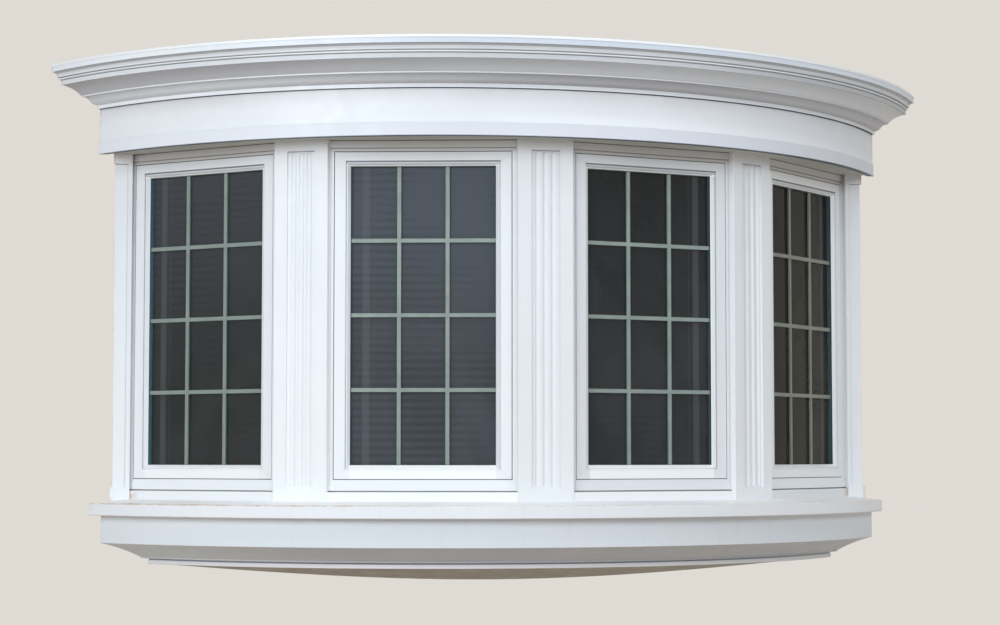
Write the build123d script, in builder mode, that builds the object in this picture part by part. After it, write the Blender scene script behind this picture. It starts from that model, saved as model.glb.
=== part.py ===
from build123d import *
from math import atan2, cos, degrees, radians, sin, tan
import os

# A four light bow window with a crown, a frieze, a moulded sill and a sloped belly.
# Millimetres. X runs along the wall, Y into it, Z up.
# The wall face is Y = 0 and the foot of the skirt board is Z = 0.

# Bow plan
unit_step = 29.0  # degrees from one window unit to the next
unit_count = 4
mullion_half = 76.0  # half the width between two frames at their faces
wall_depth = 115.0  # how far the boards run into the wall opening
end_setback = 24.0  # outer corner of an end frame behind the wall face
end_gap = 6.5  # frame corner to the board beside it
seam = 0.3  # gap between curved faces that meet

# Skirt and sill
skirt_overhang = 109.0  # past the face of the frames
skirt_thickness = 19.0
skirt_height = 88.0
sill_overhang = 32.0  # past the skirt
sill_front_height = 38.0
sill_back_height = 50.0
sill_weathering = 87.0  # width of the sloped part
sill_width = 217.0
sill_edge_bevel = 2.0
board_edge_bevel = 1.5

# Bed moulding under the skirt
bed_setback = 3.0
bed_cove_reach = 96.0
bed_cove_drop = 42.0
bed_cove_sag = 4.0  # hollow of the cove
bed_list_height = 5.0
bed_list_reach = 3.0
bed_list_slope = 3.0
bed_quirk_height = 3.0
bed_quirk_depth = 22.0
bed_foot_reach = 3.0
bed_foot_height = 13.0
bed_foot_width = 27.0
bed_top_width = 43.0

# Belly panel and wall cleats
belly_thickness = 12.0
belly_fall = 0.115  # drop for each millimetre towards the wall
cleat_thickness = 38.0
inner_margin = 15.0  # extra length of the boards before they are cut at the wall

# Seat, head and side boards of the opening
seat_thickness = 32.0
head_thickness = 25.0
jamb_board_thickness = 20.0

# Window units
frame_width = 596.0
frame_height = 1070.0
frame_depth = 80.0
frame_side = 25.0
frame_top = 34.0
frame_bottom = 33.0
frame_stop_lip = 18.0
frame_rebate_width = 9.0  # step round the opening, in the face of the frame
frame_rebate_depth = 3.0
sash_gap = 2.5
sash_recess = 4.0
sash_depth = 45.0
sash_stile = 35.0  # flat face of the upright members
sash_rail = 29.0  # flat face of the level members
sash_bead = 13.0
sash_bead_slope = 8.0
sash_bead_quirk = 2.0
sash_quirk_depth = 5.0
sash_face_step = 2.0
glass_recess = 12.0
glass_cover = 8.0
pane_thickness = 3.0
pane_gap = 12.0
spacer_sight = 1.0
bar_width = 12.0
bar_thickness = 6.0
lights_across = 3
lights_high = 4

# Strip under the frames
strip_thickness = 10.0
strip_step = 13.0  # how far it stands out from the face of the frames
strip_groove = 4.0

# Fluted covers over the mullions and beside the end units
cover_overlap = 12.0  # how far a cover laps over the frame
cover_thickness = 14.0
cover_bevel = 2.0
field_half = 44.5
field_depth = 6.0
field_foot = 39.0  # plain plinth under the fluted field
field_head = 33.0  # plain block over the fluted field
flute_count = 3
flute_pitch = 25.0
flute_radius = 10.5
flute_depth = 5.0
flute_end = 5.0
jamb_cover_reach = 39.0  # past the inner face of the side board
jamb_cover_thickness = 9.0
jamb_margin = 15.0  # plain edge beside the window
jamb_field_depth = 5.0
jamb_cap_reach = 5.0
plinth_reach = 7.0
plinth_thickness = 4.0
plinth_bevel = 3.0

# Frieze
frieze_overhang = 123.0  # past the face of the frames
frieze_thickness = 18.0
frieze_lip = 3.0
frieze_band_height = 42.0
frieze_band_reach = 2.5
frieze_band_bevel = 2.5

# Crown moulding, from its foot up
crown_foot_height = 142.0  # head underside to the foot of the crown
crown_foot_reach = 7.0
crown_foot_fillet = 12.0
crown_quirk = 2.0
crown_ogee_height = 25.0
crown_ogee_reach = 34.0
crown_ogee_sag = 2.4
crown_list_height = 5.0
crown_list_reach = 6.0
crown_cove_height = 31.0
crown_cove_reach = 48.0
crown_cove_sag = 5.0
crown_band_height = 15.0
crown_band_reach = 6.0
crown_bead_height = 8.0
crown_bead_reach = 6.0
crown_step_height = 6.0
crown_step_reach = 4.0
crown_cyma_height = 12.0
crown_cyma_reach = 10.0
crown_cyma_bevel = 2.0
crown_fascia_height = 22.0
crown_fascia_reach = 5.0
crown_seat_height = 22.0  # flat of the crown's back against the frieze
crown_top_width = 41.0

# Roof
roof_fall = 0.05  # rise for each millimetre towards the wall
roof_deck_thickness = 15.0
roof_sheet_thickness = 1.5
roof_drip = 1.8
roof_lip_height = 6.0

# Levels worked out from the sizes above
sill_base = skirt_height
seat_base = sill_base + sill_back_height
unit_base = seat_base + seat_thickness
head_base = unit_base + frame_height
head_top = head_base + head_thickness
crown_foot = head_base + crown_foot_height
half_step = radians(unit_step / 2)
frame_apothem = (mullion_half + frame_width / 2 * cos(half_step)) / sin(half_step)
end_angle = unit_step * (unit_count - 1) / 2
end_front = frame_apothem * cos(radians(end_angle)) - frame_width / 2 * sin(radians(end_angle))
bow_centre = end_front + end_setback  # centre of curvature behind the wall face
skirt_radius = frame_apothem + skirt_overhang
sill_radius = skirt_radius + sill_overhang
sill_flat_radius = sill_radius - sill_weathering
sill_inner_radius = sill_radius - sill_width
frieze_radius = frame_apothem + frieze_overhang
inner_radius = bow_centre - inner_margin
frame_back_apothem = frame_apothem - frame_depth
frame_stop_depth = frame_depth - sash_recess - sash_depth
sash_apothem = frame_apothem - sash_recess
glass_apothem = sash_apothem - glass_recess
glass_half = frame_width / 2 - frame_side - sash_gap - sash_stile - sash_bead
glass_base = unit_base + frame_bottom + sash_gap + sash_rail + sash_bead
glass_top = head_base - frame_top - sash_gap - sash_rail - sash_bead

bow_axis = Axis((0, bow_centre, 0), (0, 0, 1))
section_plane = Plane(origin=(0, bow_centre, 0), x_dir=(-1, 0, 0), z_dir=(0, 1, 0))
wall_face = Plane.XZ
room_face = Plane.XZ.offset(-wall_depth)

os.makedirs("parts", exist_ok=True)


def write(solid, label):
    """Labels one finished piece and writes it."""
    solid.label = label
    export_step(solid, f"parts/{label}.step")


def unit_angle(index):
    """Angle of a window unit from the middle of the bow, in degrees."""
    return (index - (unit_count - 1) / 2) * unit_step


def unit_plane(angle, apothem, height=0.0):
    """Plane of a window unit: x along the unit, y up, z outwards."""
    turn = radians(angle)
    origin = (apothem * sin(turn), bow_centre - apothem * cos(turn), height)
    return Plane(origin=origin, x_dir=(cos(turn), sin(turn), 0), z_dir=(sin(turn), -cos(turn), 0))


def station_plane(angle, height):
    """Level plane at the bow centre: y outwards at the given angle."""
    turn = radians(angle)
    return Plane(origin=(0, bow_centre, height), x_dir=(-cos(turn), -sin(turn), 0), z_dir=(0, 0, 1))


def beside_unit(apothem, along):
    """Point of a unit in the station plane that runs through its outer corner."""
    across = apothem * sin(half_step) - along * cos(half_step)
    outwards = apothem * cos(half_step) + along * sin(half_step)
    return across, outwards


def plan_point(angle, apothem, along):
    """Point in plan at a distance along the face of a unit."""
    turn = radians(angle)
    x = apothem * sin(turn) + along * cos(turn)
    y = bow_centre - apothem * cos(turn) + along * sin(turn)
    return x, y


def write_pair(solid, label):
    """Writes a right hand piece and its mirror image on the left."""
    write(solid, f"{label}_right")
    write(mirror(solid, about=Plane.YZ), f"{label}_left")


# Crown moulding
crown_r = frieze_radius + crown_foot_reach
crown_z = crown_foot
with BuildPart() as crown_moulding:
    with BuildSketch(section_plane):
        with BuildLine():
            foot_back = (frieze_radius + seam, crown_foot)
            foot = Polyline(foot_back, (crown_r, crown_z), (crown_r, crown_z + crown_foot_fillet))
            ogee_r = crown_r + crown_quirk
            ogee_z = crown_z + crown_foot_fillet
            ogee_end = (ogee_r + crown_ogee_reach, ogee_z + crown_ogee_height)
            Line(foot @ 1, (ogee_r, ogee_z))
            ogee_turn = (ogee_r + crown_ogee_reach / 2, ogee_z + crown_ogee_height / 2)
            SagittaArc((ogee_r, ogee_z), ogee_turn, -crown_ogee_sag)
            SagittaArc(ogee_turn, ogee_end, crown_ogee_sag)
            list_r = ogee_end[0] + crown_list_reach
            list_z = ogee_end[1] + crown_list_height
            cove_start = (list_r + crown_quirk, list_z)
            Polyline(ogee_end, (list_r, ogee_end[1]), (list_r, list_z), cove_start)
            cove_end = (cove_start[0] + crown_cove_reach, list_z + crown_cove_height)
            SagittaArc(cove_start, cove_end, crown_cove_sag)
            band_r = cove_end[0] + crown_band_reach
            band_z = cove_end[1] + crown_band_height
            bead_start = (band_r - crown_quirk, band_z)
            Polyline(cove_end, (band_r, cove_end[1]), (band_r, band_z), bead_start)
            bead_top = band_z + crown_bead_height
            bead_face = band_r + crown_bead_reach
            bead_end = (band_r + crown_bead_reach / 2, bead_top)
            step_r = bead_face + crown_step_reach
            step_z = bead_top + crown_step_height
            Polyline(
                bead_start,
                (bead_face, band_z + crown_bead_height / 4),
                (bead_face, bead_top - crown_bead_height / 4),
                bead_end,
                (step_r, bead_top),
                (step_r, step_z),
            )
            cyma_end = (step_r + crown_cyma_reach, step_z + crown_cyma_height)
            cyma_turn = (step_r + crown_cyma_bevel, step_z + crown_cyma_height / 2)
            Polyline((step_r, step_z), cyma_turn, cyma_end)
            crown_radius = cyma_end[0] + crown_fascia_reach
            crown_top = cyma_end[1] + crown_fascia_height
            Polyline(
                cyma_end,
                (crown_radius, cyma_end[1]),
                (crown_radius, crown_top),
                (crown_radius - crown_top_width, crown_top + roof_fall * crown_top_width),
                (crown_radius - crown_top_width, crown_top - roof_deck_thickness),
                (frieze_radius + seam, crown_foot + crown_seat_height),
                foot_back,
            )
        make_face()
    revolve(axis=bow_axis, revolution_arc=180)
    split(bisect_by=wall_face, keep=Keep.TOP)
write(crown_moulding.part, "crown_moulding")

# Frieze board behind the crown, standing on a slightly thicker band
frieze_foot = head_base - frieze_lip
frieze_back = frieze_radius - frieze_thickness
band_top = frieze_foot + frieze_band_height
band_face = frieze_radius + frieze_band_reach
with BuildPart() as frieze_board:
    with BuildSketch(section_plane):
        with BuildLine():
            Polyline(
                (frieze_back, band_top),
                (frieze_radius, band_top),
                (frieze_radius, crown_foot + crown_seat_height),
                (frieze_back, crown_foot + crown_seat_height),
                close=True,
            )
        make_face()
    revolve(axis=bow_axis, revolution_arc=180)
    split(bisect_by=wall_face, keep=Keep.TOP)
write(frieze_board.part, "frieze_board")

with BuildPart() as frieze_band:
    with BuildSketch(section_plane):
        with BuildLine():
            Polyline(
                (frieze_back, frieze_foot),
                (band_face, frieze_foot),
                (band_face, band_top - frieze_band_bevel),
                (frieze_radius, band_top),
                (frieze_back, band_top),
                close=True,
            )
        make_face()
    revolve(axis=bow_axis, revolution_arc=180)
    split(bisect_by=wall_face, keep=Keep.TOP)
write(frieze_band.part, "frieze_band")

# Head board, which is the soffit outside and the ceiling of the bay inside
jamb_inner = plan_point(end_angle, frame_apothem, frame_width / 2)[0] + end_gap
with BuildPart() as head_board:
    with BuildSketch(Plane.XY.offset(head_base)):
        with Locations((0, bow_centre)):
            Circle(frieze_back - seam)
        with Locations((0, bow_centre)):
            Rectangle(4 * sill_radius, 2 * bow_centre, align=(Align.CENTER, Align.MIN), mode=Mode.SUBTRACT)
        with Locations((0, bow_centre)):
            Rectangle(4 * sill_radius, bow_centre, align=(Align.CENTER, Align.MAX), mode=Mode.SUBTRACT)
        opening_half = jamb_inner + jamb_board_thickness
        Rectangle(2 * opening_half, wall_depth, align=(Align.CENTER, Align.MIN))
    extrude(amount=head_thickness)
write(head_board.part, "head_board")

# Roof deck and the metal sheet over it
deck_radius = crown_radius - crown_top_width - seam


def roof_height(radius):
    """Level of the crown's top, carried up towards the wall."""
    return crown_top + roof_fall * (crown_radius - radius)


with BuildPart() as roof_deck:
    with BuildSketch(section_plane):
        with BuildLine():
            Polyline(
                (inner_radius, roof_height(inner_radius) - roof_deck_thickness),
                (deck_radius, roof_height(deck_radius) - roof_deck_thickness),
                (deck_radius, roof_height(deck_radius)),
                (inner_radius, roof_height(inner_radius)),
                close=True,
            )
        make_face()
    revolve(axis=bow_axis, revolution_arc=180)
    split(bisect_by=wall_face, keep=Keep.TOP)
write(roof_deck.part, "roof_deck")

with BuildPart() as roof_sheet:
    with BuildSketch(section_plane):
        sheet_radius = crown_radius + roof_drip
        with BuildLine():
            lip_inner = sheet_radius - roof_sheet_thickness
            lip_foot = crown_top - roof_lip_height
            Polyline(
                (inner_radius, roof_height(inner_radius) + seam),
                (lip_inner, roof_height(lip_inner) + seam),
                (lip_inner, lip_foot),
                (sheet_radius, lip_foot),
                (sheet_radius, roof_height(sheet_radius) + seam + roof_sheet_thickness),
                (inner_radius, roof_height(inner_radius) + seam + roof_sheet_thickness),
                close=True,
            )
        make_face()
    revolve(axis=bow_axis, revolution_arc=180)
    split(bisect_by=wall_face, keep=Keep.TOP)
write(roof_sheet.part, "roof_sheet")

# Wall cleat between the head board and the roof deck
cleat_front = Plane.XZ.offset(cleat_thickness)
with BuildPart() as head_cleat:
    with BuildSketch(section_plane):
        with BuildLine():
            Polyline(
                (inner_radius, head_top),
                (frieze_back - seam, head_top),
                (frieze_back - seam, crown_foot + crown_seat_height),
                (frieze_back - seam, roof_height(frieze_back) - roof_deck_thickness - seam),
                (inner_radius, roof_height(inner_radius) - roof_deck_thickness - seam),
                close=True,
            )
        make_face()
    revolve(axis=bow_axis, revolution_arc=180)
    split(bisect_by=wall_face, keep=Keep.TOP)
    split(bisect_by=cleat_front, keep=Keep.BOTTOM)
write(head_cleat.part, "head_cleat")

# Skirt board under the sill
skirt_back = skirt_radius - skirt_thickness
with BuildPart() as skirt_board:
    with BuildSketch(section_plane) as skirt_section:
        with BuildLine():
            Polyline(
                (skirt_back, 0),
                (skirt_radius, 0),
                (skirt_radius, skirt_height),
                (skirt_back, skirt_height),
                close=True,
            )
        make_face()
        chamfer(skirt_section.vertices().group_by(Axis.X)[-1].sort_by(Axis.Y)[0], board_edge_bevel)
    revolve(axis=bow_axis, revolution_arc=180)
    split(bisect_by=wall_face, keep=Keep.TOP)
write(skirt_board.part, "skirt_board")

# Sill nosing with its weathered top
with BuildPart() as sill_nosing:
    with BuildSketch(section_plane) as sill_section:
        with BuildLine():
            Polyline(
                (sill_inner_radius, sill_base),
                (sill_radius, sill_base),
                (sill_radius, sill_base + sill_front_height),
                (sill_flat_radius, seat_base),
                (sill_inner_radius, seat_base),
                close=True,
            )
        make_face()
        chamfer(sill_section.vertices().group_by(Axis.X)[-1], sill_edge_bevel)
    revolve(axis=bow_axis, revolution_arc=180)
    split(bisect_by=wall_face, keep=Keep.TOP)
write(sill_nosing.part, "sill_nosing")

# Insulated platform that fills the bow inside the nosing
with BuildPart() as seat_platform:
    with BuildSketch(Plane.XY.offset(sill_base)):
        with Locations((0, bow_centre)):
            Circle(sill_inner_radius - seam)
        Rectangle(4 * sill_radius, 4 * sill_radius, align=(Align.CENTER, Align.MIN), mode=Mode.SUBTRACT)
    extrude(amount=sill_back_height)
write(seat_platform.part, "seat_platform")

# Bed moulding under the skirt
list_foot = -bed_cove_drop - bed_list_height
quirk_top = list_foot - bed_list_slope
quirk_foot = quirk_top - bed_quirk_height
bed_base = quirk_foot - bed_foot_height
bed_top_radius = skirt_radius - bed_setback
cove_foot_radius = bed_top_radius - bed_cove_reach
list_radius = cove_foot_radius - bed_list_reach
quirk_radius = list_radius - bed_quirk_depth
bed_foot_radius = quirk_radius + bed_foot_reach
bed_back_radius = bed_foot_radius - bed_foot_width
belly_edge_top = bed_base + belly_thickness
with BuildPart() as bed_moulding:
    with BuildSketch(section_plane):
        with BuildLine():
            SagittaArc(
                (bed_top_radius, 0),
                (cove_foot_radius, -bed_cove_drop),
                -bed_cove_sag,
            )
            Polyline(
                (cove_foot_radius, -bed_cove_drop),
                (list_radius, -bed_cove_drop),
                (list_radius, list_foot),
                (quirk_radius, quirk_top),
                (quirk_radius, quirk_foot),
                (bed_foot_radius, quirk_foot),
                (bed_foot_radius, bed_base),
                (bed_back_radius, bed_base),
                (bed_back_radius, belly_edge_top),
                (bed_top_radius - bed_top_width, 0),
                (bed_top_radius, 0),
            )
        make_face()
    revolve(axis=bow_axis, revolution_arc=180)
    split(bisect_by=wall_face, keep=Keep.TOP)
write(bed_moulding.part, "bed_moulding")

# Belly panel, which slopes down towards the wall
belly_edge = bed_back_radius - seam
belly_inner_drop = belly_fall * (belly_edge - inner_radius)
with BuildPart() as belly_panel:
    with BuildSketch(section_plane):
        with BuildLine():
            Polyline(
                (belly_edge, bed_base),
                (belly_edge, belly_edge_top),
                (inner_radius, belly_edge_top - belly_inner_drop),
                (inner_radius, bed_base - belly_inner_drop),
                close=True,
            )
        make_face()
    revolve(axis=bow_axis, revolution_arc=180)
    split(bisect_by=wall_face, keep=Keep.TOP)
write(belly_panel.part, "belly_panel")

# Wall cleat under the sill, which carries the mounting face
with BuildPart() as seat_cleat:
    with BuildSketch(section_plane):
        with BuildLine():
            Polyline(
                (inner_radius, belly_edge_top - belly_inner_drop + seam),
                (belly_edge, belly_edge_top + seam),
                (bed_top_radius - bed_top_width - 3 * seam, 0),
                (skirt_back - seam, 0),
                (skirt_back - seam, sill_base),
                (inner_radius, sill_base),
                close=True,
            )
        make_face()
    revolve(axis=bow_axis, revolution_arc=180)
    split(bisect_by=wall_face, keep=Keep.TOP)
    split(bisect_by=cleat_front, keep=Keep.BOTTOM)
write(seat_cleat.part, "seat_cleat")

# Seat board under the units and across the opening
seat_apothem = frame_apothem - strip_thickness
cover_back = beside_unit(frame_apothem, frame_width / 2)[1]
seat_corner = (cover_back - seat_apothem * cos(half_step)) / sin(half_step)
seat_points = []
for index in range(unit_count):
    first = -frame_width / 2 if index == 0 else -seat_corner
    last = frame_width / 2 if index == unit_count - 1 else seat_corner
    seat_points.append(plan_point(unit_angle(index), seat_apothem, first))
    seat_points.append(plan_point(unit_angle(index), seat_apothem, last))
seat_end = seat_points[-1][1]
with BuildPart() as seat_board:
    with BuildSketch(Plane.XY.offset(seat_base)):
        with BuildLine():
            Polyline(
                (-jamb_inner, wall_depth),
                (-jamb_inner, seat_end),
                *seat_points,
                (jamb_inner, seat_end),
                (jamb_inner, wall_depth),
                close=True,
            )
        make_face()
    extrude(amount=seat_thickness)
write(seat_board.part, "seat_board")

# Window units
opening_width = frame_width - 2 * frame_side
opening_height = frame_height - frame_top - frame_bottom
sash_width = opening_width - 2 * sash_gap
sash_height = opening_height - 2 * sash_gap
sash_base = frame_bottom + sash_gap
sight_width = 2 * glass_half
sight_height = glass_top - glass_base
sight_base = glass_base - unit_base
pane_width = sight_width + 2 * glass_cover
pane_height = sight_height + 2 * glass_cover
pane_base = sight_base - glass_cover
bead_reach = sash_bead - sash_bead_quirk
bead_splay = degrees(atan2(sash_bead_slope, glass_recess - sash_face_step))
outer_pane_apothem = glass_apothem - pane_thickness
inner_pane_apothem = outer_pane_apothem - pane_gap - pane_thickness
spacer_width = sight_width - 2 * spacer_sight
spacer_height = sight_height - 2 * spacer_sight
centred = (Align.CENTER, Align.MIN)
for index in range(unit_count):
    turn = unit_angle(index)
    with BuildPart() as frame:
        with BuildSketch(unit_plane(turn, frame_back_apothem, unit_base)):
            Rectangle(frame_width, frame_height, align=centred)
            with Locations((0, frame_bottom)):
                Rectangle(opening_width, opening_height, align=centred, mode=Mode.SUBTRACT)
        extrude(amount=frame_depth)
        with BuildSketch(unit_plane(turn, frame_back_apothem, unit_base)):
            with Locations((0, frame_bottom)):
                Rectangle(opening_width, opening_height, align=centred)
            with Locations((0, frame_bottom + frame_stop_lip)):
                Rectangle(
                    opening_width - 2 * frame_stop_lip,
                    opening_height - 2 * frame_stop_lip,
                    align=centred,
                    mode=Mode.SUBTRACT,
                )
        extrude(amount=frame_stop_depth)
        with BuildSketch(unit_plane(turn, frame_apothem, unit_base)):
            with Locations((0, frame_bottom - frame_rebate_width)):
                Rectangle(
                    opening_width + 2 * frame_rebate_width,
                    opening_height + 2 * frame_rebate_width,
                    align=centred,
                )
        extrude(amount=-frame_rebate_depth, mode=Mode.SUBTRACT)
    write(frame.part, f"frame_{index + 1}")

    with BuildPart() as sash:
        with BuildSketch(unit_plane(turn, sash_apothem - sash_depth, unit_base)):
            with Locations((0, sash_base)):
                Rectangle(sash_width, sash_height, align=centred)
            with Locations((0, sight_base)):
                Rectangle(sight_width, sight_height, align=centred, mode=Mode.SUBTRACT)
        extrude(amount=sash_depth)
        with BuildSketch(unit_plane(turn, sash_apothem, unit_base)):
            with Locations((0, sight_base - sash_bead)):
                Rectangle(sight_width + 2 * sash_bead, sight_height + 2 * sash_bead, align=centred)
        extrude(amount=-sash_face_step, mode=Mode.SUBTRACT)
        with BuildSketch(unit_plane(turn, sash_apothem, unit_base)):
            with Locations((0, sight_base - sash_bead)):
                Rectangle(sight_width + 2 * sash_bead, sight_height + 2 * sash_bead, align=centred)
            with Locations((0, sight_base - bead_reach)):
                Rectangle(
                    sight_width + 2 * bead_reach,
                    sight_height + 2 * bead_reach,
                    align=centred,
                    mode=Mode.SUBTRACT,
                )
        extrude(amount=-sash_quirk_depth, mode=Mode.SUBTRACT)
        with BuildSketch(unit_plane(turn, glass_apothem, unit_base)):
            with Locations((0, sight_base)):
                Rectangle(sight_width, sight_height, align=centred)
        extrude(amount=glass_recess - sash_face_step, taper=-bead_splay, mode=Mode.SUBTRACT)
        with BuildSketch(unit_plane(turn, inner_pane_apothem, unit_base)):
            with Locations((0, pane_base)):
                Rectangle(pane_width, pane_height, align=centred)
        extrude(amount=2 * pane_thickness + pane_gap, mode=Mode.SUBTRACT)
    write(sash.part, f"sash_{index + 1}")

    with BuildPart() as panes:
        for pane_apothem in (outer_pane_apothem, inner_pane_apothem):
            with BuildSketch(unit_plane(turn, pane_apothem, unit_base)):
                with Locations((0, pane_base)):
                    Rectangle(pane_width, pane_height, align=centred)
            extrude(amount=pane_thickness)
    write(panes.part, f"glass_{index + 1}")

    with BuildPart() as grille:
        with BuildSketch(unit_plane(turn, outer_pane_apothem - pane_gap, unit_base)):
            with Locations((0, pane_base)):
                Rectangle(pane_width, pane_height, align=centred)
            with Locations((0, sight_base + spacer_sight)):
                Rectangle(spacer_width, spacer_height, align=centred, mode=Mode.SUBTRACT)
        extrude(amount=pane_gap)
        bar_back = outer_pane_apothem - (pane_gap + bar_thickness) / 2
        with BuildSketch(unit_plane(turn, bar_back, unit_base)):
            with Locations((0, sight_base + sight_height / 2)):
                with GridLocations(sight_width / lights_across, sight_height, lights_across - 1, 1):
                    Rectangle(bar_width, spacer_height + 2 * spacer_sight)
                with GridLocations(sight_width, sight_height / lights_high, 1, lights_high - 1):
                    Rectangle(spacer_width + 2 * spacer_sight, bar_width)
        extrude(amount=bar_thickness)
    write(grille.part, f"grille_{index + 1}")

# Strips under the frames, one to a unit, cut to meet the covers at both ends
lap = frame_width / 2 - cover_overlap
strip_front = frame_apothem + strip_step
mullion_end = lap + strip_step * tan(half_step)
wall_end = lap - strip_step * tan(radians(end_angle))
with BuildPart() as base_strips:
    for index in range(unit_count):
        turn = unit_angle(index)
        first = wall_end if index == 0 else mullion_end
        last = wall_end if index == unit_count - 1 else mullion_end
        with BuildSketch(Plane.XY.offset(seat_base)):
            with BuildLine():
                Polyline(
                    plan_point(turn, seat_apothem, -frame_width / 2),
                    plan_point(turn, frame_apothem, -frame_width / 2),
                    plan_point(turn, frame_apothem, -lap),
                    plan_point(turn, strip_front, -first),
                    plan_point(turn, strip_front, last),
                    plan_point(turn, frame_apothem, lap),
                    plan_point(turn, frame_apothem, frame_width / 2),
                    plan_point(turn, seat_apothem, frame_width / 2),
                    close=True,
                )
            make_face()
        extrude(amount=seat_thickness - strip_groove)
write(base_strips.part, "base_strips")

# Covers and posts at the three mullions
edge_across, edge_out = beside_unit(frame_apothem, lap)
corner_across, corner_out = beside_unit(frame_apothem, frame_width / 2)
heel_across, heel_out = beside_unit(frame_back_apothem, frame_width / 2)
cover_front = corner_out + cover_thickness
field_base = seat_base + field_foot
field_top = head_base - field_head
flute_height = field_top - field_base - 2 * flute_end
for index in range(unit_count - 1):
    turn = unit_angle(index) + unit_step / 2
    with BuildPart() as cover:
        with BuildSketch(station_plane(turn, seat_base)):
            with BuildLine():
                Polyline(
                    (-edge_across, edge_out),
                    (-edge_across, cover_front - cover_bevel),
                    (-edge_across + cover_bevel, cover_front),
                    (edge_across - cover_bevel, cover_front),
                    (edge_across, cover_front - cover_bevel),
                    (edge_across, edge_out),
                    (corner_across, corner_out),
                    (-corner_across, corner_out),
                    close=True,
                )
            make_face()
        extrude(amount=head_base - seat_base)
        with BuildSketch(station_plane(turn, field_base)):
            with Locations((0, cover_front)):
                Rectangle(2 * field_half, 2 * field_depth)
        extrude(amount=field_top - field_base, mode=Mode.SUBTRACT)
        with BuildSketch(station_plane(turn, field_base + flute_end)):
            with Locations((0, cover_front - field_depth - flute_depth + flute_radius)):
                with GridLocations(flute_pitch, flute_pitch, flute_count, 1):
                    Circle(flute_radius)
        extrude(amount=flute_height, mode=Mode.SUBTRACT)
    write(cover.part, f"mullion_cover_{index + 1}")

    with BuildPart() as post:
        with BuildSketch(station_plane(turn, unit_base)):
            with BuildLine():
                Polyline(
                    (-corner_across, corner_out),
                    (corner_across, corner_out),
                    (heel_across, heel_out),
                    (-heel_across, heel_out),
                    close=True,
                )
            make_face()
        extrude(amount=frame_height)
    write(post.part, f"mullion_post_{index + 1}")

# Covers, posts and boards beside the end units, made on the right and mirrored
lap_x, lap_y = plan_point(end_angle, frame_apothem, lap)
toe_x, toe_y = plan_point(end_angle, frame_apothem, frame_width / 2)
heel_x, heel_y = plan_point(end_angle, frame_back_apothem, frame_width / 2)
sill_slope = (sill_back_height - sill_front_height) / (sill_radius - sill_flat_radius)
scribe_radius = sill_flat_radius + seam / sill_slope
scribe_drop = sill_slope * (sill_radius - scribe_radius)
jamb_cover_half = jamb_inner + jamb_cover_reach
plinth_base = sill_base + sill_front_height
with BuildPart() as plinth:
    with BuildSketch(Plane.XY.offset(plinth_base)):
        with Locations((lap_x, -jamb_cover_thickness - plinth_thickness)):
            Rectangle(
                jamb_cover_half + plinth_reach - lap_x,
                jamb_cover_thickness + plinth_thickness,
                align=(Align.MIN, Align.MIN),
            )
    extrude(amount=field_base - plinth_base)
    plinth_top = plinth.edges().group_by(Axis.Z)[-1]
    chamfer([plinth_top.sort_by(Axis.Y)[0], plinth_top.sort_by(Axis.X)[-1]], plinth_bevel)

with BuildPart() as jamb_cover:
    with BuildSketch(Plane.XY.offset(seat_base)):
        with BuildLine():
            Polyline(
                (lap_x, -jamb_cover_thickness),
                (jamb_cover_half, -jamb_cover_thickness),
                (jamb_cover_half, 0),
                (jamb_inner, 0),
                (jamb_inner, toe_y),
                (toe_x, toe_y),
                (lap_x, lap_y),
                close=True,
            )
        make_face()
    extrude(amount=head_base - seat_base)
    with BuildSketch(Plane.XY.offset(field_base)):
        with Locations((lap_x + jamb_margin, -jamb_cover_thickness)):
            Rectangle(jamb_cover_half, 2 * jamb_field_depth, align=(Align.MIN, Align.CENTER))
    extrude(amount=field_top - field_base, mode=Mode.SUBTRACT)
    with BuildSketch(Plane.XY.offset(field_top)):
        with Locations((jamb_inner, -jamb_cover_thickness)):
            Rectangle(
                jamb_cover_reach + jamb_cap_reach,
                jamb_cover_thickness,
                align=(Align.MIN, Align.MIN),
            )
    extrude(amount=head_base - field_top)
    add(plinth.part)
    with BuildSketch(section_plane):
        with BuildLine():
            Polyline(
                (sill_inner_radius, sill_base),
                (sill_radius, sill_base),
                (sill_radius, seat_base - scribe_drop),
                (scribe_radius, seat_base),
                (sill_inner_radius, seat_base),
                close=True,
            )
        make_face()
    revolve(axis=bow_axis, revolution_arc=180, mode=Mode.SUBTRACT)
write_pair(jamb_cover.part, "jamb_cover")

with BuildPart() as end_post:
    with BuildSketch(Plane.XY.offset(unit_base)):
        with BuildLine():
            Polyline(
                (toe_x, toe_y),
                (jamb_inner, toe_y),
                (jamb_inner, heel_y),
                (heel_x, heel_y),
                close=True,
            )
        make_face()
    extrude(amount=frame_height)
write_pair(end_post.part, "end_post")

with BuildPart() as jamb_board:
    with BuildSketch(Plane.XY.offset(seat_base)):
        with Locations((jamb_inner, 0)):
            Rectangle(jamb_board_thickness, wall_depth, align=(Align.MIN, Align.MIN))
    extrude(amount=head_base - seat_base)
write_pair(jamb_board.part, "jamb_board")
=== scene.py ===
import math

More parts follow.
